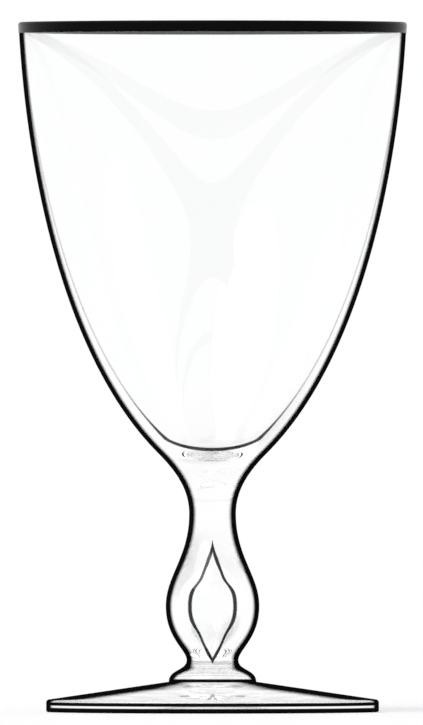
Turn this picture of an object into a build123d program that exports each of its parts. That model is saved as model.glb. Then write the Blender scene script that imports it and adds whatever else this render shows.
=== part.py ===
"""Water goblet: a blown glass bowl with a dark band fired on its lip, on a drawn stem whose knop holds an
air tear, on a low conical foot. Sizes are in millimetres and angles in degrees. The goblet stands on Z = 0
with its axis on Z, and every piece is turned from one half profile, drawn with its radius along X and its
height along Z."""

import os
from math import cos, radians, sin

from build123d import *

# Rim and band
rim_diameter = 90.0
rim_wall = 1.1  # the lip is rounded over this whole thickness
rim_lean = 3.2  # how far the wall opens outwards at the rim, from the vertical
band_thickness = 0.1
band_clearance = 0.01  # between the band and the glass it is fired on
band_skirt = 1.85  # down the outside, from where the lip begins to round
band_inner_skirt = 0.3  # down the inside, from where the lip begins to round

# Bowl and the throat drawn out under it
bowl_height = 99.9  # from the shoulder to the top of the lip
bowl_upper_pull = 21.1  # how far the wall keeps its rim lean before it curves in
bowl_lower_pull = 35.7  # how far the wall keeps its shoulder lean before it curves up
shoulder_diameter = 25.2  # where the bowl's wall runs into the throat
shoulder_lean = 45.0  # slope of both there, from the vertical
shoulder_wall = 3.5  # thickness of the glass there
floor_radius = 17.3  # ball radius of the cavity's rounded floor
throat_height = 14.0  # from the neck to the shoulder
throat_upper_pull = 6.5
throat_lower_pull = 5.2

# Stem
neck_diameter = 10.84  # where the throat and the stem meet
upper_knop_height = 21.5  # from the knop's widest level to the neck
neck_pull = 10.1
knop_upper_pull = 7.2
knop_diameter = 21.7
lower_knop_height = 12.5  # from the waist to the knop's widest level
knop_lower_pull = 7.4
waist_upper_pull = 2.4
waist_diameter = 12.0
collar_height = 5.0  # from the foot to the waist
waist_lower_pull = 2.4
collar_pull = 2.9
collar_diameter = 20.3

# Air tear in the knop
tear_diameter = 10.5
tear_upper_length = 15.0  # from the knop's widest level to the tear's top point
tear_lower_length = 14.6
tear_point_angle = 5.0  # half angle of both points
tear_upper_point_pull = 10.4
tear_lower_point_pull = 9.3
tear_belly_pull = 6.4

# Foot
foot_diameter = 77.2
foot_edge_height = 2.8
foot_rise = 4.2  # from the edge up the cone to the stem
foot_arris_round = 0.7  # between the cone and the edge
foot_heel_round = 0.4  # between the edge and the underside
foot_rest_width = 4.0  # ring that touches the table
foot_hollow_depth = 1.2  # at the middle of the underside


def leaning(lean):
    """Unit vector up a line that leans away from the axis."""
    return Vector(sin(radians(lean)), cos(radians(lean)))


def square_to(lean):
    """Unit vector away from the axis, square to a line that leans away from it."""
    return Vector(cos(radians(lean)), -sin(radians(lean)))


# Levels, from the table up
foot_seat_level = foot_edge_height + foot_rise
waist_level = foot_seat_level + collar_height
knop_level = waist_level + lower_knop_height
neck_level = knop_level + upper_knop_height
shoulder_level = neck_level + throat_height
lip_level = shoulder_level + bowl_height

# Lip and the straight stretch of wall below it, which the bowl and the band share
up_rim = leaning(rim_lean)
out_of_rim = square_to(rim_lean)
lip_radius = rim_wall / 2
lip_centre = Vector(rim_diameter / 2 - lip_radius, lip_level - lip_radius)
lip_top = lip_centre + up_rim * lip_radius
lip_outside = lip_centre + out_of_rim * lip_radius
lip_inside = lip_centre - out_of_rim * lip_radius
wall_outside = lip_outside - up_rim * band_skirt
wall_inside = lip_inside - up_rim * band_skirt

# Shoulder, where the wall ends and the throat begins
up_shoulder = leaning(shoulder_lean)
out_of_shoulder = square_to(shoulder_lean)
shoulder = Vector(shoulder_diameter / 2, shoulder_level)
bowl_lower_handle = shoulder + up_shoulder * bowl_lower_pull

# Floor of the cavity, a ball that touches the inside of the shoulder's wall
shoulder_reach = floor_radius + shoulder_wall  # from the ball's centre to the outside of the shoulder
floor_centre_rise = (shoulder.X * out_of_shoulder.X - shoulder_reach) / out_of_shoulder.Y
floor_centre = Vector(0, shoulder_level + floor_centre_rise)
floor_middle = floor_centre - Vector(0, floor_radius)
floor_edge = floor_centre + out_of_shoulder * floor_radius
cavity_lower_handle = bowl_lower_handle - out_of_shoulder * shoulder_wall

# Joints: the throat meets the stem at the neck, and the stem's collar meets the foot
neck = Vector(neck_diameter / 2, neck_level)
neck_middle = Vector(0, neck_level)
collar_edge = Vector(collar_diameter / 2, foot_seat_level)
seat_middle = Vector(0, foot_seat_level)
up = Vector(0, 1)

os.makedirs("parts", exist_ok=True)

# Bowl: throat, outside wall, rounded lip and cavity
with BuildPart() as bowl:
    with BuildSketch(Plane.XZ):
        with BuildLine():
            Line(neck_middle, neck)
            Bezier(neck, neck + up * throat_lower_pull, shoulder - up_shoulder * throat_upper_pull, shoulder)
            Bezier(shoulder, bowl_lower_handle, wall_outside - up_rim * bowl_upper_pull, wall_outside)
            Line(wall_outside, lip_outside)
            ThreePointArc(lip_outside, lip_top, lip_inside)
            Line(lip_inside, wall_inside)
            Bezier(wall_inside, wall_inside - up_rim * bowl_upper_pull, cavity_lower_handle, floor_edge)
            TangentArc(floor_middle, floor_edge, tangent=(1, 0))
            Line(floor_middle, neck_middle)
        make_face()
    revolve(axis=Axis.Z)
bowl.part.label = "bowl"
export_step(bowl.part, "parts/bowl.step")

# Rim band: an even coat over the lip and a little way down both sides of the wall
band_outer_offset = band_clearance + band_thickness
to_band = out_of_rim * band_clearance
through_band = out_of_rim * band_outer_offset
band_inside = lip_inside - up_rim * band_inner_skirt
with BuildPart() as rim_band:
    with BuildSketch(Plane.XZ):
        with BuildLine():
            Line(wall_outside + to_band, lip_outside + to_band)
            ThreePointArc(lip_outside + to_band, lip_top + up_rim * band_clearance, lip_inside - to_band)
            Line(lip_inside - to_band, band_inside - to_band)
            Line(band_inside - to_band, band_inside - through_band)
            Line(band_inside - through_band, lip_inside - through_band)
            ThreePointArc(
                lip_inside - through_band,
                lip_top + up_rim * band_outer_offset,
                lip_outside + through_band,
            )
            Line(lip_outside + through_band, wall_outside + through_band)
            Line(wall_outside + through_band, wall_outside + to_band)
        make_face()
    revolve(axis=Axis.Z)
rim_band.part.label = "rim_band"
export_step(rim_band.part, "parts/rim_band.step")

# Stem: neck, knop, waist and collar in one flowing line, upright at each of them
knop = Vector(knop_diameter / 2, knop_level)
waist = Vector(waist_diameter / 2, waist_level)
tear_side = Vector(tear_diameter / 2, knop_level)
tear_top = Vector(0, knop_level + tear_upper_length)
tear_bottom = Vector(0, knop_level - tear_lower_length)
with BuildPart() as stem:
    with BuildSketch(Plane.XZ):
        with BuildLine():
            Line(neck_middle, neck)
            Bezier(neck, neck - up * neck_pull, knop + up * knop_upper_pull, knop)
            Bezier(knop, knop - up * knop_lower_pull, waist + up * waist_upper_pull, waist)
            Bezier(waist, waist - up * waist_lower_pull, collar_edge + up * collar_pull, collar_edge)
            Line(collar_edge, seat_middle)
            Line(seat_middle, neck_middle)
        make_face()
    revolve(axis=Axis.Z)
    with BuildSketch(Plane.XZ):
        with BuildLine():
            Bezier(
                tear_top,
                tear_top + leaning(180 - tear_point_angle) * tear_upper_point_pull,
                tear_side + up * tear_belly_pull,
                tear_side,
            )
            Bezier(
                tear_side,
                tear_side - up * tear_belly_pull,
                tear_bottom + leaning(tear_point_angle) * tear_lower_point_pull,
                tear_bottom,
            )
            Line(tear_bottom, tear_top)
        make_face()
    revolve(axis=Axis.Z, mode=Mode.SUBTRACT)
stem.part.label = "stem"
export_step(stem.part, "parts/stem.step")

# Foot: flat seat, conical top, upright edge and a hollow underside inside a flat ring
foot_radius = foot_diameter / 2
cone_edge = Vector(foot_radius, foot_edge_height)
heel = Vector(foot_radius, 0)
rest_inside = Vector(foot_radius - foot_heel_round - foot_rest_width, 0)
hollow_middle = Vector(0, foot_hollow_depth)
with BuildPart() as foot:
    with BuildSketch(Plane.XZ) as foot_profile:
        with BuildLine():
            Line(seat_middle, collar_edge)
            Line(collar_edge, cone_edge)
            Line(cone_edge, heel)
            Line(heel, rest_inside)
            TangentArc(hollow_middle, rest_inside, tangent=(1, 0))
            Line(hollow_middle, seat_middle)
        make_face()
        edge_corners = foot_profile.vertices().group_by(Axis.X)[-1].sort_by(Axis.Y)
        fillet(edge_corners[0], foot_heel_round)
        fillet(edge_corners[-1], foot_arris_round)
    revolve(axis=Axis.Z)
foot.part.label = "foot"
export_step(foot.part, "parts/foot.step")
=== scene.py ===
# %% [markdown]
# # A water goblet in clear glass
#
# A stemmed goblet is made from three gathers of hot glass: a blown bowl, a drawn stem and a spread foot,
# fused end to end, with a black enamel band fired on the lip. The stem's swelling holds an air tear, a
# bubble that was trapped in the gather and drawn out with it.
#
# The measured goblet is loaded first, as a fixed frame. Each of its solids is then replaced by a finer
# surface of the same size, turned from the same profile, because glass shows every facet that it has.

# %% Load the measured goblet
from math import cos, pi, radians, sin, tan

import bmesh
import bpy
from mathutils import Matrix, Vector
from mathutils.geometry import interpolate_bezier


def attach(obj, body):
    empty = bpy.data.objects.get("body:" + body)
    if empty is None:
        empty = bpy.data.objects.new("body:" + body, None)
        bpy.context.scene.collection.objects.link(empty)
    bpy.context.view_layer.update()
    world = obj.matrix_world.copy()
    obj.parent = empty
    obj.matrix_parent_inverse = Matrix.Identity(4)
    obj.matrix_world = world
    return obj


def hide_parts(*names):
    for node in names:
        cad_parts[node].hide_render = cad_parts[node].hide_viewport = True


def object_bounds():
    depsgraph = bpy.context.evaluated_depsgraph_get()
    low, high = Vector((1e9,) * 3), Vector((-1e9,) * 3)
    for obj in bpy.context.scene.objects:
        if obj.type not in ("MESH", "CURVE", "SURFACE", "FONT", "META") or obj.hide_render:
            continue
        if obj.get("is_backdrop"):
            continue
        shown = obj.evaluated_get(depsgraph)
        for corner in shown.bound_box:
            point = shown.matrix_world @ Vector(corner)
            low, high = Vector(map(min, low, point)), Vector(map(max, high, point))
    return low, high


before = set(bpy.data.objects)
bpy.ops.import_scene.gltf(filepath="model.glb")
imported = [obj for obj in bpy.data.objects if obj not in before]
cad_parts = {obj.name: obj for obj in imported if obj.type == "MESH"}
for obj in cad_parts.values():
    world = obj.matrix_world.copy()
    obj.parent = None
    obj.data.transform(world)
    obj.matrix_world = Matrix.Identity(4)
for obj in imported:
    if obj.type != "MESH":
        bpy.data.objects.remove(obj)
cad_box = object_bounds()
scene = bpy.context.scene
print("solids in the frame:", sorted(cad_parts))

# %% [markdown]
# ## The camera
#
# The picture is a side elevation, drawn square to the goblet: the rim is a straight bar and not an
# ellipse. A camera comes close to that when it stands far off behind a very long lens, level with the
# goblet's middle. An orthographic camera would be flatter still, but it keeps its scale when it is
# walked round, and would cut the goblet off in views from above.

# %% A long lens, level with the goblet's middle
MM = 0.001  # the goblet is measured in millimetres, and Blender works in metres
PICTURE_WIDTH, PICTURE_HEIGHT = 423, 725  # pixels
FILM_HEIGHT = 36.0
LENS = 1650.0
VIEW_HEIGHT = 168.2 * MM  # how much of the goblet's own plane fills the picture's height
VIEW_CENTRE = Vector((-0.24, 0, 81.06)) * MM  # the point of that plane in the middle of the picture
LEVEL = radians(90)  # a camera looks straight down until it is tipped up by this

view_distance = VIEW_HEIGHT * LENS / FILM_HEIGHT
camera = bpy.data.objects.new("camera", bpy.data.cameras.new("camera"))
camera.data.sensor_fit = "VERTICAL"
camera.data.sensor_height = FILM_HEIGHT
camera.data.sensor_width = FILM_HEIGHT * PICTURE_HEIGHT / PICTURE_WIDTH  # frames the other views only
camera.data.lens = LENS
camera.data.clip_end = 2 * view_distance
camera.location = VIEW_CENTRE + Vector((0, -view_distance, 0))
camera.rotation_euler = (LEVEL, 0, 0)
scene.collection.objects.link(camera)
scene.camera = camera
print(f"camera {view_distance:.2f} m away, {VIEW_CENTRE.z / MM:.1f} mm above the table")

# %% [markdown]
# ## A white studio
#
# Clear glass is seen by what stands behind it and round it. The picture's ground is white, so the studio
# is white on every side: a pale floor, and a world that the eye, a reflection and a refraction all see
# as plain white. The light that falls on matt things is kept a little lower, and one broad soft light
# makes up the rest, so the floor keeps a soft shadow.

# %% Pale floor
FLOOR_HALF_SIZE = 6.0  # metres
FLOOR_DROP = 0.05 * MM  # keeps the floor clear of the foot's flat ring
WHITE = (1, 1, 1, 1)
PALE_PAINT = (0.9, 0.9, 0.9, 1)
PAINT_ROUGHNESS = 0.7
PAINT_GLOW = 0.1  # makes up the light that the paint swallows

floor_bm = bmesh.new()
bmesh.ops.create_grid(floor_bm, x_segments=1, y_segments=1, size=FLOOR_HALF_SIZE)
bmesh.ops.translate(floor_bm, vec=(0, 0, -FLOOR_DROP), verts=floor_bm.verts)
floor_mesh = bpy.data.meshes.new("studio_floor")
floor_bm.to_mesh(floor_mesh)
floor_bm.free()
studio_floor = bpy.data.objects.new("studio_floor", floor_mesh)
scene.collection.objects.link(studio_floor)
studio_floor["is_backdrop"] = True

floor_paint = bpy.data.materials.new("floor_paint")
floor_paint.use_nodes = True
paint = floor_paint.node_tree.nodes["Principled BSDF"]
paint.inputs["Base Color"].default_value = PALE_PAINT
paint.inputs["Roughness"].default_value = PAINT_ROUGHNESS
paint.inputs["Specular IOR Level"].default_value = 0.0
paint.inputs["Emission Color"].default_value = WHITE
paint.inputs["Emission Strength"].default_value = PAINT_GLOW
floor_mesh.materials.append(floor_paint)
print("floor", 2 * FLOOR_HALF_SIZE, "m across")

# %% [markdown]
# The world and the glass are both made of nodes. Three helpers keep them short to write: one feeds a
# socket, one makes a Math node, and one eases from one value to another.

# %% Small node helpers
def feed(tree, socket, value):
    """Links a node's output into a socket, or sets the socket to a plain value."""
    if isinstance(value, bpy.types.NodeSocket):
        tree.links.new(value, socket)
    else:
        socket.default_value = value


def maths(tree, operation, first, second=0.0):
    """Output of one Math node."""
    made = tree.nodes.new("ShaderNodeMath")
    made.operation = operation
    feed(tree, made.inputs[0], first)
    feed(tree, made.inputs[1], second)
    return made.outputs[0]


def fade(tree, value, start, end, at_start, at_end):
    """Output of a Map Range node that eases from one value to another."""
    made = tree.nodes.new("ShaderNodeMapRange")
    made.interpolation_type = "SMOOTHSTEP"
    for socket, setting in zip(made.inputs, (value, start, end, at_start, at_end)):
        feed(tree, socket, setting)
    return made.outputs["Result"]


print("node helpers ready")

# %% White on every side
MATT_LIGHT = 0.7  # what the world gives to matt surfaces
SEEN_LIGHT = 1.0  # what the eye, mirrors and glass see of it

world = bpy.data.worlds.new("white_studio")
world.use_nodes = True
scene.world = world
tree = world.node_tree
background = tree.nodes["Background"]
background.inputs["Color"].default_value = WHITE
path = tree.nodes.new("ShaderNodeLightPath")
by_glass = maths(tree, "MAXIMUM", path.outputs["Is Glossy Ray"], path.outputs["Is Transmission Ray"])
seen = maths(tree, "MAXIMUM", path.outputs["Is Camera Ray"], by_glass)
feed(tree, background.inputs["Strength"], fade(tree, seen, 0.0, 1.0, MATT_LIGHT, SEEN_LIGHT))
print("world gives", MATT_LIGHT, "to matt surfaces and shows as", SEEN_LIGHT)

# %% A broad soft light, high on the left
LIGHT_TILT = radians(40)  # from straight above
LIGHT_TURN = radians(-40)  # from the camera's side round to the left
LIGHT_SPREAD = radians(50)  # a wide source throws soft shadows

soft_light = bpy.data.objects.new("soft_light", bpy.data.lights.new("soft_light", "SUN"))
soft_light.data.angle = LIGHT_SPREAD
soft_light.data.energy = (SEEN_LIGHT - MATT_LIGHT) * pi / cos(LIGHT_TILT)
soft_light.rotation_euler = (LIGHT_TILT, 0, LIGHT_TURN)
scene.collection.objects.link(soft_light)
print(f"soft light of {soft_light.data.energy:.2f} makes up the rest")

# %% [markdown]
# Light runs along the inside of a glass stem as it does in a glass fibre, turned back from wall to wall
# many times before it gets out. A path that is stopped after a few turns ends in black, which shows as
# dark wedges in the throat. So the paths are let run on.

# %% Long paths for light inside the glass
GLASS_TURNS = 32

scene.cycles.max_bounces = GLASS_TURNS
scene.cycles.glossy_bounces = GLASS_TURNS
scene.cycles.transmission_bounces = GLASS_TURNS
scene.cycles.transparent_max_bounces = GLASS_TURNS
scene.view_settings.view_transform = "Standard"
print("light may turn", GLASS_TURNS, "times in the glass")

# %% [markdown]
# ## Turning a piece from its profile
#
# Every piece of the goblet is round, so each one is a half profile, spun once about the axis. The
# flowing lines of hot glass are drawn as Bezier bends: each end has a point and a pull, which is the
# direction and strength with which the line leaves it. A subdivision surface over a few rings would flow
# too, but it never quite passes through the sizes that were measured.

# %% A pen for profiles
def at(radius, height):
    """A point of a half profile, in millimetres."""
    return Vector((radius, 0, height))


def leaning(lean):
    """Unit vector up a line that leans away from the axis by so many degrees."""
    return Vector((sin(radians(lean)), 0, cos(radians(lean))))


def square_to(lean):
    """Unit vector away from the axis, square to a line that leans away from it."""
    return Vector((cos(radians(lean)), 0, -sin(radians(lean))))


def bend(start, start_pull, end_pull, end, points):
    """Points of one smooth bend, which leaves each end along that end's pull."""
    return interpolate_bezier(start, start + start_pull, end + end_pull, end, points)


def arc_pull(degrees):
    """Pull of a bend that follows a circle through so many degrees, as a share of the circle's radius."""
    return 4 / 3 * tan(radians(degrees) / 4)


UP = at(0, 1)
print(f"a quarter circle pulls {arc_pull(90):.4f} of its radius")

# %% A lathe
TURN_STEPS = 160
SAME_POINT = 0.0005  # millimetres


def spin_profile(bm, points, closed=False):
    """Spins a half profile once round the axis, and returns its faces, which point out of the shape."""
    before = set(bm.faces)
    verts = [bm.verts.new(point) for point in points]
    edges = [bm.edges.new(pair) for pair in zip(verts, verts[1:])]
    if closed:
        edges.append(bm.edges.new((verts[-1], verts[0])))
    bmesh.ops.spin(
        bm,
        geom=verts + edges,
        cent=(0, 0, 0),
        axis=(0, 0, 1),
        angle=2 * pi,
        steps=TURN_STEPS,
        use_merge=True,
    )
    spun = {vert for face in bm.faces if face not in before for vert in face.verts}
    bmesh.ops.remove_doubles(bm, verts=list(spun), dist=SAME_POINT)
    faces = [face for face in bm.faces if face not in before]
    bmesh.ops.recalc_face_normals(bm, faces=faces)
    return faces


print("lathe turns in", TURN_STEPS, "steps")

# %% A place to lay a finished piece
CORNER = 35  # degrees: a sharper fold than this is a real corner
FUSED_JOINT, MARKED_GLASS = 1, 2  # material slots of a glass piece, after its main glass in slot 0


def lay(bm, name):
    """Makes an object of a turned shape: smooth, but sharp at real corners and round the fused joints."""
    for face in bm.faces:
        face.smooth = True
    for edge in bm.edges:
        joints = [face.material_index == FUSED_JOINT for face in edge.link_faces]
        edge.smooth = edge.calc_face_angle(0) < radians(CORNER) and len(set(joints)) == 1
    bmesh.ops.scale(bm, vec=(MM, MM, MM), verts=bm.verts)
    mesh = bpy.data.meshes.new(name)
    bm.to_mesh(mesh)
    bm.free()
    piece = bpy.data.objects.new(name, mesh)
    scene.collection.objects.link(piece)
    print(name, "has", len(mesh.polygons), "faces")
    return piece


def mark_joint(bm, height):
    """Gives the flat disc at a height, where two gathers are fused, the joint's own slot."""
    for face in bm.faces:
        if all(abs(vert.co.z - height) < SAME_POINT for vert in face.verts):
            face.material_index = FUSED_JOINT


print("folds sharper than", CORNER, "degrees stay corners")

# %% [markdown]
# ## The bowl
#
# The bowl is blown: thin and even at the lip, and thick at the base, where most of the gather stays. Its
# outside runs from the neck through the flaring throat, past the shoulder and up the egg-shaped wall to
# a rounded lip. Inside, the wall comes down to a floor that is part of a ball.

# %% Outside of the bowl
NECK_RADIUS = 5.42
NECK_LEVEL = 46.0
THROAT_LOWER_PULL = 5.2
THROAT_UPPER_PULL = 6.5
SHOULDER_RADIUS = 12.6
SHOULDER_LEVEL = 60.0
SHOULDER_LEAN = 45.0
WALL_LOWER_PULL = 35.7
WALL_UPPER_PULL = 21.1
RIM_RADIUS = 45.0
RIM_WALL = 1.1
RIM_LEAN = 3.2
LIP_LEVEL = 159.9
BAND_SKIRT = 1.85

up_rim, out_of_rim = leaning(RIM_LEAN), square_to(RIM_LEAN)
lip_centre = at(RIM_RADIUS - RIM_WALL / 2, LIP_LEVEL - RIM_WALL / 2)
lip_outside = lip_centre + out_of_rim * RIM_WALL / 2
wall_outside = lip_outside - up_rim * BAND_SKIRT
up_shoulder, out_of_shoulder = leaning(SHOULDER_LEAN), square_to(SHOULDER_LEAN)
neck = at(NECK_RADIUS, NECK_LEVEL)
shoulder = at(SHOULDER_RADIUS, SHOULDER_LEVEL)
off_neck, off_throat = UP * THROAT_LOWER_PULL, up_shoulder * -THROAT_UPPER_PULL
off_shoulder, off_rim = up_shoulder * WALL_LOWER_PULL, up_rim * -WALL_UPPER_PULL

bowl_outside = [at(0, NECK_LEVEL), neck]
bowl_outside += bend(neck, off_neck, off_throat, shoulder, points=26)
bowl_outside += bend(shoulder, off_shoulder, off_rim, wall_outside, points=64)
print(f"wall meets the band at radius {wall_outside.x:.2f}, height {wall_outside.z:.2f}")

# %% Lip and cavity of the bowl
SHOULDER_WALL = 3.5
FLOOR_RADIUS = 17.3


def round_lip(offset):
    """Points over the lip from outside to inside, a given distance clear of the glass."""
    radius = RIM_WALL / 2 + offset
    sideways, upwards = out_of_rim * radius, up_rim * radius
    outside, top, inside = lip_centre + sideways, lip_centre + upwards, lip_centre - sideways
    along, across = upwards * arc_pull(90), sideways * arc_pull(90)
    return bend(outside, along, across, top, points=9) + bend(top, -across, along, inside, points=9)


lip_inside = lip_centre - out_of_rim * RIM_WALL / 2
wall_inside = lip_inside - up_rim * BAND_SKIRT
floor_rise = (SHOULDER_RADIUS * out_of_shoulder.x - FLOOR_RADIUS - SHOULDER_WALL) / out_of_shoulder.z
floor_centre = at(0, SHOULDER_LEVEL + floor_rise)
floor_edge = floor_centre + out_of_shoulder * FLOOR_RADIUS
floor_middle = floor_centre - UP * FLOOR_RADIUS
floor_pull = arc_pull(90 - SHOULDER_LEAN) * FLOOR_RADIUS
inner_handle = shoulder + off_shoulder - out_of_shoulder * SHOULDER_WALL

cavity = bend(wall_inside, off_rim, inner_handle - floor_edge, floor_edge, points=64)
cavity += bend(floor_edge, up_shoulder * -floor_pull, at(floor_pull, 0), floor_middle, points=18)
print(f"floor of the cavity at {floor_middle.z:.2f}")

# %% Turn the bowl
bowl_bm = bmesh.new()
spin_profile(bowl_bm, bowl_outside + round_lip(0) + cavity)
mark_joint(bowl_bm, NECK_LEVEL)
for face in bowl_bm.faces:
    if face.normal.xy.dot(face.calc_center_median().xy) < 0:
        face.material_index = MARKED_GLASS  # the cavity's side of the wall
bowl = lay(bowl_bm, "blown_bowl")

# %% [markdown]
# ## The rim band
#
# The band is enamel, brushed on over the lip while the bowl turns and then fired. It is a closed skin:
# down the outside of the wall, over the lip and a touch down the inside. It is sunk a hair into the
# glass, so that from within the wall the enamel is seen and not a film of air.

# %% Turn the band
BAND_PROUD = 0.11  # how far the enamel stands off the glass
BAND_SINK = -0.03
BAND_INNER_SKIRT = 0.3

band_inside = lip_inside - up_rim * BAND_INNER_SKIRT
band_profile = [wall_outside + out_of_rim * BAND_SINK]
band_profile += round_lip(BAND_SINK)
band_profile += [band_inside - out_of_rim * BAND_SINK, band_inside - out_of_rim * BAND_PROUD]
band_profile += reversed(round_lip(BAND_PROUD))
band_profile += [wall_outside + out_of_rim * BAND_PROUD]

band_bm = bmesh.new()
spin_profile(band_bm, band_profile, closed=True)
band = lay(band_bm, "enamel_band")

# %% [markdown]
# ## The stem and its tear
#
# The stem is drawn down from its own gather: a neck, a swelling knop, a waist and a flared collar, all
# upright where they are widest or narrowest. The tear is a hollow with a skin of its own inside the
# knop. Its skin has to face the air in the tear, away from the glass, so it is turned like a solid
# spindle and then reversed.

# %% Turn the stem
KNOP = at(10.85, 24.5)
WAIST = at(6.0, 12.0)
COLLAR = at(10.15, 7.0)
NECK_PULL = 10.1
KNOP_UPPER_PULL = 7.2
KNOP_LOWER_PULL = 7.4
WAIST_PULL = 2.4  # both up and down
COLLAR_PULL = 2.9

stem_profile = [at(0, NECK_LEVEL)]
stem_profile += bend(neck, UP * -NECK_PULL, UP * KNOP_UPPER_PULL, KNOP, points=34)
stem_profile += bend(KNOP, UP * -KNOP_LOWER_PULL, UP * WAIST_PULL, WAIST, points=28)
stem_profile += bend(WAIST, UP * -WAIST_PULL, UP * COLLAR_PULL, COLLAR, points=24)
stem_profile += [at(0, COLLAR.z)]

stem_bm = bmesh.new()
spin_profile(stem_bm, stem_profile)
mark_joint(stem_bm, NECK_LEVEL)
mark_joint(stem_bm, COLLAR.z)
print("stem turned without its tear:", len(stem_bm.faces), "faces")

# %% Turn the tear inside the stem
TEAR_RADIUS = 5.25
TEAR_UPPER_LENGTH = 15.0  # from the knop's widest level
TEAR_LOWER_LENGTH = 14.6
TEAR_POINT_LEAN = 5.0  # half angle of both points
TEAR_TOP_PULL = 10.4
TEAR_BELLY_PULL = 6.4
TEAR_BOTTOM_PULL = 9.3

tear_side = at(TEAR_RADIUS, KNOP.z)
tear_top = at(0, KNOP.z + TEAR_UPPER_LENGTH)
tear_bottom = at(0, KNOP.z - TEAR_LOWER_LENGTH)
off_top = leaning(180 - TEAR_POINT_LEAN) * TEAR_TOP_PULL
off_bottom = leaning(TEAR_POINT_LEAN) * TEAR_BOTTOM_PULL

tear_profile = bend(tear_top, off_top, UP * TEAR_BELLY_PULL, tear_side, points=30)
tear_profile += bend(tear_side, UP * -TEAR_BELLY_PULL, off_bottom, tear_bottom, points=30)
tear_faces = spin_profile(stem_bm, tear_profile)
bmesh.ops.reverse_faces(stem_bm, faces=tear_faces)
for face in tear_faces:
    face.material_index = MARKED_GLASS
stem = lay(stem_bm, "drawn_stem")

# %% [markdown]
# ## The foot
#
# The foot is a gather spread flat with a paddle: a low cone, an upright edge, and a shallow hollow
# underneath that leaves a flat ring to stand on. The two corners of the edge are melted round in the
# fire. They are turned sharp here and then beveled, which is how the softening happens on the real one
# too.

# %% Turn the foot
FOOT_RADIUS = 38.6
EDGE_HEIGHT = 2.8
RING_INSIDE = 34.2
HOLLOW_DEPTH = 1.2
CONE_STEPS = 12

cone_edge = at(FOOT_RADIUS, EDGE_HEIGHT)
heel_corner = at(FOOT_RADIUS, 0)
ring_inside = at(RING_INSIDE, 0)
hollow_middle = at(0, HOLLOW_DEPTH)
hollow_slope = ring_inside - at(0, 2 * HOLLOW_DEPTH)
hollow_pull = RING_INSIDE / 3  # on so shallow a bend, this follows an arc
off_ring = hollow_slope.normalized() * -hollow_pull

foot_profile = [at(0, COLLAR.z)]
foot_profile += [COLLAR.lerp(cone_edge, step / CONE_STEPS) for step in range(CONE_STEPS + 1)]
foot_profile += [heel_corner, ring_inside]
foot_profile += bend(ring_inside, off_ring, at(hollow_pull, 0), hollow_middle, points=32)
foot_bm = bmesh.new()
spin_profile(foot_bm, foot_profile)
mark_joint(foot_bm, COLLAR.z)
print("foot turned with sharp corners:", len(foot_bm.faces), "faces")

# %% Melt the corners of the edge
ARRIS_CUT = 0.6  # how far from the corner the rounding begins
HEEL_CUT = 0.4
MELT_STEPS = 6
ROUND = 0.5  # a bevel of this profile is part of a circle
EDGE_INSIDE = 37.9  # faces further out than this belong to the edge


def melt(bm, corner, cut):
    """Rounds the ring of edges at one corner of the profile, and returns how many edges it had."""
    at_corner = {
        vert
        for vert in bm.verts
        if abs(vert.co.z - corner.z) < SAME_POINT and vert.co.xy.length > corner.x - SAME_POINT
    }
    ring = [edge for edge in bm.edges if at_corner.issuperset(edge.verts)]
    bmesh.ops.bevel(
        bm, geom=ring, offset=cut, segments=MELT_STEPS, profile=ROUND, affect="EDGES", material=-1
    )
    return len(ring)


arris_edges = melt(foot_bm, cone_edge, ARRIS_CUT)
heel_edges = melt(foot_bm, heel_corner, HEEL_CUT)
print("arris:", arris_edges, "edges, heel:", heel_edges)
for face in foot_bm.faces:
    if face.calc_center_median().xy.length > EDGE_INSIDE:
        face.material_index = MARKED_GLASS
foot = lay(foot_bm, "spread_foot")

# %% [markdown]
# ## How clear glass is seen on white
#
# In front of white, clear glass is drawn by its edges. Where the wall turns away from the eye, light is
# bent so far that it comes from the unlit room beyond the white ground, and the outline goes dark. This
# studio is white all round and has no unlit room, so that shade is painted into the glass: the Layer
# Weight node tells how far a surface is turned away, and near the outline the glass gives way to painted
# black.
#
# A round wall of radius R that lies a distance d inside its outline is turned to the eye with a cosine
# of about sqrt(2 d / R). Comparing the two gives a line of the same width on a thick bowl and on a thin
# neck. A wall that leans shows less of its roundness, so R is divided by how level its normal lies. A
# line is left out where the eye meets it by way of a reflection, because glass throws such images to and
# fro and would fill itself with scribbles.

# %% How a point of the glass lies
PLAIN_BLEND = 0.5  # at this blend, Facing is 1 less the cosine


def level_length(tree, vector):
    """Length of a vector seen from straight above, such as a point's distance from the axis."""
    flat = tree.nodes.new("ShaderNodeVectorMath")
    flat.operation = "MULTIPLY"
    flat.inputs[1].default_value = (1, 1, 0)
    tree.links.new(vector, flat.inputs[0])
    length = tree.nodes.new("ShaderNodeVectorMath")
    length.operation = "LENGTH"
    tree.links.new(flat.outputs["Vector"], length.inputs[0])
    return length.outputs["Value"]


def above_table(tree):
    """Height above the table."""
    place = tree.nodes.new("ShaderNodeTexCoord")
    split = tree.nodes.new("ShaderNodeSeparateXYZ")
    tree.links.new(place.outputs["Object"], split.inputs[0])
    return split.outputs["Z"]


def from_axis(tree, least=0.01):
    """Distance from the axis, and never less than a least one in millimetres, so that it can divide."""
    place = tree.nodes.new("ShaderNodeTexCoord")
    return maths(tree, "MAXIMUM", level_length(tree, place.outputs["Object"]), least * MM)


def uprightness(tree):
    """1 on an upright wall, and 0 on a level floor."""
    place = tree.nodes.new("ShaderNodeTexCoord")
    return level_length(tree, place.outputs["Normal"])


def turned_to_eye(tree):
    """Cosine of the angle between a surface and the eye: 1 seen squarely, 0 along the outline."""
    turned = tree.nodes.new("ShaderNodeLayerWeight")
    turned.inputs["Blend"].default_value = PLAIN_BLEND
    return maths(tree, "SUBTRACT", 1.0, turned.outputs["Facing"])


print("a point's place and turn can be read")
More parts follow.
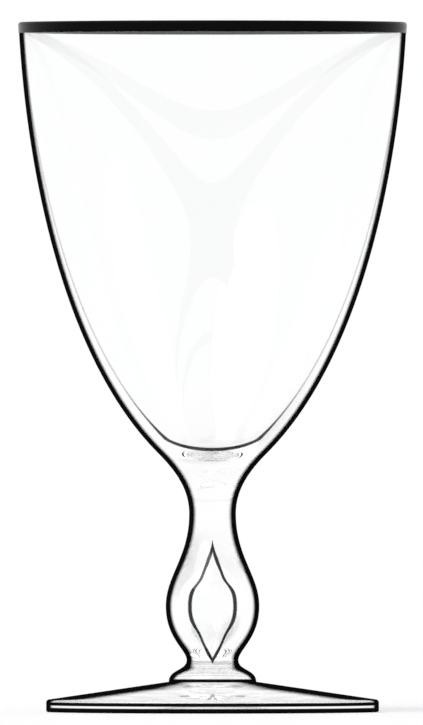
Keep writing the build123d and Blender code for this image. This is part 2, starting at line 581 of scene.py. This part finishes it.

# %% A painted dark outline of even width
OUTLINE_SOFTNESS = 0.15  # share of a line's width in which it fades, either way
LEAST_EDGE = 0.0001  # cosine, more than nothing so that it can divide


def from_outside(tree, line):
    """Keeps a line where the glass is seen from the air, not from within or in a reflection."""
    side = tree.nodes.new("ShaderNodeNewGeometry")
    path = tree.nodes.new("ShaderNodeLightPath")
    dropped = maths(tree, "MAXIMUM", side.outputs["Backfacing"], path.outputs["Is Reflection Ray"])
    return maths(tree, "MULTIPLY", line, maths(tree, "SUBTRACT", 1.0, dropped))


def outline(tree, width, widest=1.0):
    """Painted shade at a point: full within a width of the outline, none further in or past a widest
    cosine.
    """
    roundness = maths(tree, "DIVIDE", uprightness(tree), from_axis(tree))
    edge = maths(tree, "SQRT", maths(tree, "MULTIPLY", roundness, 2 * width * MM))
    edge = maths(tree, "MINIMUM", maths(tree, "MAXIMUM", edge, LEAST_EDGE), widest)
    inward = maths(tree, "DIVIDE", turned_to_eye(tree), edge)
    darkness = fade(tree, inward, 1 - OUTLINE_SOFTNESS, 1 + OUTLINE_SOFTNESS, 1.0, 0.0)
    return from_outside(tree, darkness)


print("outline ready")

# %% [markdown]
# The hollows, the bowl's cavity and the tear, are seen from within the glass. Their skin lets the eye
# through where it faces the eye, and turns into a mirror where it lies too slantwise. The painted dark
# line of a hollow runs along the border of the mirror, where the sine of the slant is one over the
# glass's refraction. Round glass magnifies what it holds by the same refraction, so a hollow of radius R
# shows its border at R from the axis, and the line's width is a share of R.

# %% A painted dark line round a hollow
REFRACTION = 1.52
HOLLOW_SOFTNESS = 0.3


def hollow_line(tree, width, radius, darkness=1.0):
    """Painted shade on a hollow's skin: a dark line along its mirror's border, seen straight through the
    glass.
    """
    cosine = turned_to_eye(tree)
    slant = maths(tree, "SQRT", maths(tree, "SUBTRACT", 1.0, maths(tree, "MULTIPLY", cosine, cosine)))
    inward = maths(tree, "SUBTRACT", 1.0, maths(tree, "MULTIPLY", slant, REFRACTION))
    aside = maths(tree, "ABSOLUTE", maths(tree, "MULTIPLY", inward, radius))
    aside = maths(tree, "DIVIDE", aside, maths(tree, "MULTIPLY", width, MM / 2))
    line = fade(tree, aside, 1 - HOLLOW_SOFTNESS, 1 + HOLLOW_SOFTNESS, darkness, 0.0)
    side = tree.nodes.new("ShaderNodeNewGeometry")
    path = tree.nodes.new("ShaderNodeLightPath")
    through = maths(tree, "MULTIPLY", side.outputs["Backfacing"], path.outputs["Is Transmission Ray"])
    return maths(tree, "MULTIPLY", line, through)


print("line round a hollow ready")

# %% [markdown]
# The glass itself is a Principled shader that transmits everything. It is mixed with black, painted
# shade, by the share of darkness. No glass is quite even, so soft noise tints every kind of it very
# faintly. How that noise is stretched, and whether it dulls or ripples the surface as well, differs from
# piece to piece.

# %% Patterns on a surface
NOISE_LOW, NOISE_HIGH = 0.3, 0.7  # nearly all of a noise lies between these


def ripples(tree, stretch, scale, detail=2.0):
    """Soft noise, in ripples to the metre. A stretch below 1 draws them out along that axis."""
    place = tree.nodes.new("ShaderNodeTexCoord")
    mapping = tree.nodes.new("ShaderNodeMapping")
    mapping.inputs["Scale"].default_value = stretch
    tree.links.new(place.outputs["Object"], mapping.inputs["Vector"])
    noise = tree.nodes.new("ShaderNodeTexNoise")
    noise.inputs["Scale"].default_value = scale
    noise.inputs["Detail"].default_value = detail
    tree.links.new(mapping.outputs["Vector"], noise.inputs["Vector"])
    return noise.outputs["Fac"]


def emboss(tree, shader, pattern, depth, strength):
    """Raises a pattern on a shader's surface, by a depth in millimetres."""
    bump = tree.nodes.new("ShaderNodeBump")
    bump.inputs["Distance"].default_value = depth * MM
    bump.inputs["Strength"].default_value = strength
    tree.links.new(pattern, bump.inputs["Height"])
    tree.links.new(bump.outputs["Normal"], shader.inputs["Normal"])


def tint(tree, shader, pattern, low, high):
    """Varies a shader's colour between two colours by a pattern."""
    ramp = tree.nodes.new("ShaderNodeValToRGB")
    ramp.color_ramp.elements[0].color = (*low, 1)
    ramp.color_ramp.elements[1].color = (*high, 1)
    tree.links.new(pattern, ramp.inputs["Fac"])
    tree.links.new(ramp.outputs["Color"], shader.inputs["Base Color"])


def dull(tree, shader, noise, most):
    """Varies a shader's roughness by a noise, from a full polish to the most that it is dulled."""
    feed(tree, shader.inputs["Roughness"], fade(tree, noise, NOISE_LOW, NOISE_HIGH, 0.0, most))


print("patterns ready")

# %% Clear glass with painted shade at its edges
WATER_WHITE = (1.0, 1.0, 1.0)
FAINT_GREY = (0.985, 0.992, 0.99)
# painted shade: the black that the glass gives way to along its dark lines
PAINTED_SHADE_BLACK = (0.004, 0.004, 0.004, 1)
EDGE_ROUGHNESS = 0.4


def clear_glass(name, stretch, scale):
    """A new glass material, its tree and its glass shader, and the ripples that tint it."""
    material = bpy.data.materials.new(name)
    material.use_nodes = True
    tree = material.node_tree
    glass = tree.nodes["Principled BSDF"]
    glass.inputs["Transmission Weight"].default_value = 1.0
    glass.inputs["IOR"].default_value = REFRACTION
    rippled = ripples(tree, stretch, scale)
    tint(tree, glass, rippled, FAINT_GREY, WATER_WHITE)
    return material, tree, glass, rippled


def darken(tree, glass, darkness):
    """Lets a glass shader give way to painted black shade by a share of darkness."""
    black = tree.nodes.new("ShaderNodeBsdfPrincipled")
    black.inputs["Base Color"].default_value = PAINTED_SHADE_BLACK
    black.inputs["Roughness"].default_value = EDGE_ROUGHNESS
    black.inputs["Specular IOR Level"].default_value = 0.0
    mixed = tree.nodes.new("ShaderNodeMixShader")
    tree.links.new(darkness, mixed.inputs[0])
    tree.links.new(glass.outputs[0], mixed.inputs[1])
    tree.links.new(black.outputs[0], mixed.inputs[2])
    tree.links.new(mixed.outputs[0], tree.nodes["Material Output"].inputs["Surface"])


print("glass ready")

# %% [markdown]
# ## Glass of the bowl
#
# A blown wall is never quite even: it carries long soft ripples from the turning, far too low to see but
# enough to make a reflection swim. Inside, the cavity's own painted dark outline is finer than the outer
# one. Its painted shade is strongest at the floor, where the glass is thick, and fades up the wall.

# %% Bowl glass
OUTLINE_WIDTH = 1.2
BLOWN_STRETCH = (1, 1, 0.5)
BLOWN_RIPPLES = 60  # to the metre
BLOWN_DULLNESS = 0.02
BLOWN_DEPTH, BLOWN_STRENGTH = 0.2, 0.05


def blown_glass(name):
    """Glass of a blown wall, whose two sides ripple alike."""
    material, tree, glass, blown = clear_glass(name, BLOWN_STRETCH, BLOWN_RIPPLES)
    dull(tree, glass, blown, BLOWN_DULLNESS)
    emboss(tree, glass, blown, BLOWN_DEPTH, BLOWN_STRENGTH)
    return material, tree, glass


bowl_glass, tree, glass = blown_glass("bowl_glass")
# painted shade: the bowl's glass gives way to black along its outline
darken(tree, glass, outline(tree, OUTLINE_WIDTH))
print("bowl glass, outline", OUTLINE_WIDTH, "mm")

# %% Cavity glass
FLOOR_LINE, CAVITY_LINE = 0.75, 0.3  # widths of the painted dark line at the floor and up the wall
THINS_FROM, THINS_TO = 60, 70  # heights between which the line goes from one to the other
# painted shade of the cavity's line, full at the floor and weaker up the wall
FLOOR_DARKNESS, CAVITY_DARKNESS = 1.0, 0.4
FADES_FROM, FADES_TO = 66, 78

cavity_glass, tree, glass = blown_glass("cavity_glass")
# painted shade: a dark line along the cavity's mirror border, wider and darker at the floor
line_width = fade(tree, above_table(tree), THINS_FROM * MM, THINS_TO * MM, FLOOR_LINE, CAVITY_LINE)
darkness = fade(tree, above_table(tree), FADES_FROM * MM, FADES_TO * MM, FLOOR_DARKNESS, CAVITY_DARKNESS)
darken(tree, glass, hollow_line(tree, line_width, from_axis(tree, FLOOR_RADIUS / 2), darkness))
print("cavity glass, line", FLOOR_LINE, "to", CAVITY_LINE, "mm")

# %% [markdown]
# ## Glass of the stem and skin of the tear
#
# Drawing the stem out pulls every unevenness into streaks along it, so the ripples are stretched along
# the axis. Where the collar was pressed down on the foot there is a tight crease, and a dark line of
# painted shade is laid along it. The tear's skin was shaped by nothing but air and heat. Its surface has
# no ripples, only the faint tint of the glass and a fine painted dark outline. That line is made narrower
# where the skin leans, because leaning spreads it.

# %% Stem glass
DRAWN_STRETCH = (1, 1, 0.12)
DRAWN_RIPPLES = 220
STEM_DULLNESS = 0.02
DRAWN_DEPTH, DRAWN_STRENGTH = 0.05, 0.05
CREASE_DARK, CREASE_CLEAR = 0.5, 0.8  # heights above the collar's edge between which the painted crease shade fades

stem_glass, tree, glass, drawn = clear_glass("stem_glass", DRAWN_STRETCH, DRAWN_RIPPLES)
dull(tree, glass, drawn, STEM_DULLNESS)
emboss(tree, glass, drawn, DRAWN_DEPTH, DRAWN_STRENGTH)
dark_level, clear_level = COLLAR.z + CREASE_DARK, COLLAR.z + CREASE_CLEAR
# painted shade: a dark band at the foot of the collar, along its crease, joined to the painted dark
# outline
painted_crease_shade = fade(tree, above_table(tree), dark_level * MM, clear_level * MM, 1.0, 0.0)
line = maths(tree, "MAXIMUM", outline(tree, OUTLINE_WIDTH), from_outside(tree, painted_crease_shade))
darken(tree, glass, line)
print("stem glass, crease up to", CREASE_CLEAR, "mm")

# %% Tear skin
TEAR_DULLNESS = 0.01
TEAR_LINE = 0.9  # width of the painted dark line where the skin is upright
LEANING_LINE = 0.45 * TEAR_LINE  # width where it leans
LEANING = 0.8  # uprightness at which it is narrowest

tear_skin, tree, glass, drawn = clear_glass("tear_skin", DRAWN_STRETCH, DRAWN_RIPPLES)
dull(tree, glass, drawn, TEAR_DULLNESS)
# painted shade: a dark line along the tear's mirror border, narrower where the skin leans
line_width = fade(tree, uprightness(tree), LEANING, 1.0, LEANING_LINE, TEAR_LINE)
darken(tree, glass, hollow_line(tree, line_width, from_axis(tree)))
print("tear skin, line", TEAR_LINE, "mm")

# %% [markdown]
# ## Glass of the foot
#
# The paddle leaves faint rings on the foot, and the ring that it stands on is scuffed by every table it
# has met: there the polish is gone. Seen from the side, the flat cone turns to the eye hardly more than
# an outline does, so its painted dark outline is kept narrower than the slope of the cone. The painted
# shade of the crease under the collar runs on a little way over the cone.
#
# The upright edge is a thick lens seen from the side. Its melted corners turn the light away, so two
# dark lines of painted shade are laid on it, one under the arris and one at the heel, with a bright strip
# between them.

# %% Foot glass
EVEN = (1, 1, 1)
SPREAD_RIPPLES = 90
PADDLE_PITCH = 3.5  # from one ring to the next
PADDLE_DEPTH, PADDLE_STRENGTH = 0.01, 0.02
CREASE_REACH = 0.5  # how far the painted crease shade runs from the collar down the cone
CREASE_SOFTNESS = 0.03  # height in which the painted crease shade fades, either way
CONE_SHARE = 0.9  # how near the widest outline comes to the slope of the cone

foot_glass, tree, glass, _ = clear_glass("foot_glass", EVEN, SPREAD_RIPPLES)
rings = maths(tree, "SINE", maths(tree, "MULTIPLY", from_axis(tree), 2 * pi / (PADDLE_PITCH * MM)))
emboss(tree, glass, rings, PADDLE_DEPTH, PADDLE_STRENGTH)
cone_slope = (COLLAR.z - cone_edge.z) / (COLLAR - cone_edge).length
crease_end = COLLAR.z - CREASE_REACH * cone_slope
clear_level, dark_level = crease_end - CREASE_SOFTNESS, crease_end + CREASE_SOFTNESS
# painted shade: a dark band on the cone just under the collar's crease, joined to the painted dark outline
painted_crease_shade = fade(tree, above_table(tree), clear_level * MM, dark_level * MM, 0.0, 1.0)
line = outline(tree, OUTLINE_WIDTH, CONE_SHARE * cone_slope)
darken(tree, glass, maths(tree, "MAXIMUM", line, from_outside(tree, painted_crease_shade)))
print(f"foot glass, crease down to {crease_end:.2f} mm")

# %% Scuffs where the foot stands
SCUFF_HEIGHT = 0.12
SCUFF_RIPPLES = 1500
SCUFF_DETAIL = 6.0
SCUFF_LOW, SCUFF_HIGH = 0.35, 0.65  # where in the noise a scuff begins, and is at its worst
LIGHT_SCUFF, HEAVY_SCUFF = 0.12, 0.32  # roughness

scratches = ripples(tree, EVEN, SCUFF_RIPPLES, SCUFF_DETAIL)
scuffs = fade(tree, scratches, SCUFF_LOW, SCUFF_HIGH, LIGHT_SCUFF, HEAVY_SCUFF)
stands = fade(tree, above_table(tree), 0.0, SCUFF_HEIGHT * MM, 1.0, 0.0)
feed(tree, glass.inputs["Roughness"], maths(tree, "MULTIPLY", scuffs, stands))
print("foot scuffed up to", SCUFF_HEIGHT, "mm")

# %% Glass of the foot's edge
EDGE_DULLNESS = 0.04
ARRIS_LINE = 1.95  # height of the painted dark line of shade under the arris
ARRIS_DARK, ARRIS_CLEAR = 0.3, 0.5  # distances from it between which it fades
HEEL_DARK, HEEL_CLEAR = 0.95, 1.2  # heights between which the painted shade of the heel fades

edge_glass, tree, glass, spread = clear_glass("edge_glass", EVEN, SPREAD_RIPPLES)
dull(tree, glass, spread, EDGE_DULLNESS)
# painted shade: dark lines under the arris and along the heel, laid by height, joined to the painted dark
# outline
from_arris = maths(tree, "ABSOLUTE", maths(tree, "SUBTRACT", above_table(tree), ARRIS_LINE * MM))
arris = fade(tree, from_arris, ARRIS_DARK * MM, ARRIS_CLEAR * MM, 1.0, 0.0)
heel = fade(tree, above_table(tree), HEEL_DARK * MM, HEEL_CLEAR * MM, 1.0, 0.0)
lines = from_outside(tree, maths(tree, "MAXIMUM", arris, heel))
darken(tree, glass, maths(tree, "MAXIMUM", outline(tree, OUTLINE_WIDTH), lines))
print("edge glass, lines at", ARRIS_LINE, "and up to", HEEL_CLEAR, "mm")

# %% [markdown]
# ## Fused joints
#
# Where two gathers are fused there is no surface left: the glass runs through. The pieces still end
# there, each in a flat disc, so the discs are made wholly transparent and the light passes as if the
# glass were one.

# %% Fused joint
fused_joint = bpy.data.materials.new("fused_joint")
fused_joint.use_nodes = True
tree = fused_joint.node_tree
tree.nodes.remove(tree.nodes["Principled BSDF"])
clear = tree.nodes.new("ShaderNodeBsdfTransparent")
tree.links.new(clear.outputs[0], tree.nodes["Material Output"].inputs["Surface"])
print("fused joint is clear")

# %% [markdown]
# ## Enamel of the band
#
# The enamel is black glass powder in oil, brushed on while the goblet turns, so it has fine streaks that
# run round the lip. Firing leaves it glossy. On top, where lips and dishcloths touch it, the gloss is a
# little dulled.

# %% Band enamel
ENAMEL_MIRROR = 0.03  # very faint, because the picture shows a plain black
DEEP_BLACK, WORN_BLACK = (0.001, 0.001, 0.0012), (0.004, 0.004, 0.0045)
BRUSH_STRETCH = (1, 1, 50)
BRUSH_RIPPLES = 60
BRUSH_DETAIL = 4.0
BRUSH_DEPTH, BRUSH_STRENGTH = 0.01, 0.1
GLOSSY, STREAKY = 0.15, 0.28  # roughness between streaks and on them
WORN_DEPTH = 0.3  # from the top of the lip
WORN_DULLNESS = 0.15

band_enamel = bpy.data.materials.new("band_enamel")
band_enamel.use_nodes = True
tree = band_enamel.node_tree
enamel = tree.nodes["Principled BSDF"]
enamel.inputs["Specular IOR Level"].default_value = ENAMEL_MIRROR
streaks = ripples(tree, BRUSH_STRETCH, BRUSH_RIPPLES, BRUSH_DETAIL)
tint(tree, enamel, streaks, DEEP_BLACK, WORN_BLACK)
gloss = fade(tree, streaks, NOISE_LOW, NOISE_HIGH, GLOSSY, STREAKY)
worn = fade(tree, above_table(tree), (LIP_LEVEL - WORN_DEPTH) * MM, LIP_LEVEL * MM, 0.0, WORN_DULLNESS)
feed(tree, enamel.inputs["Roughness"], maths(tree, "ADD", gloss, worn))
emboss(tree, enamel, streaks, BRUSH_DEPTH, BRUSH_STRENGTH)
print("enamel brushed round the lip")

# %% [markdown]
# ## Dressing the frame
#
# Each piece gets its materials in the order of its slots, stands for the solid of the frame that it was
# turned to, and rides on the goblet's one body.

# %% Dress the pieces
dressing = [
    (bowl, "bowl", "clear_glass", [bowl_glass, fused_joint, cavity_glass]),
    (band, "rim_band", "band_enamel", [band_enamel]),
    (stem, "stem", "clear_glass", [stem_glass, fused_joint, tear_skin]),
    (foot, "foot", "clear_glass", [foot_glass, fused_joint, edge_glass]),
]
for piece, node, slot, materials in dressing:
    for material in materials:
        piece.data.materials.append(material)
    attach(piece, "root")
    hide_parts(node)
    print(piece.name, "stands for", node)

# %% Compare the sizes and finish
visual_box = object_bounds()
boxes = {"cad": [list(corner) for corner in cad_box], "visual": [list(corner) for corner in visual_box]}
for name, (low, high) in boxes.items():
    print(name, [round((b - a) / MM, 2) for a, b in zip(low, high)], "mm")
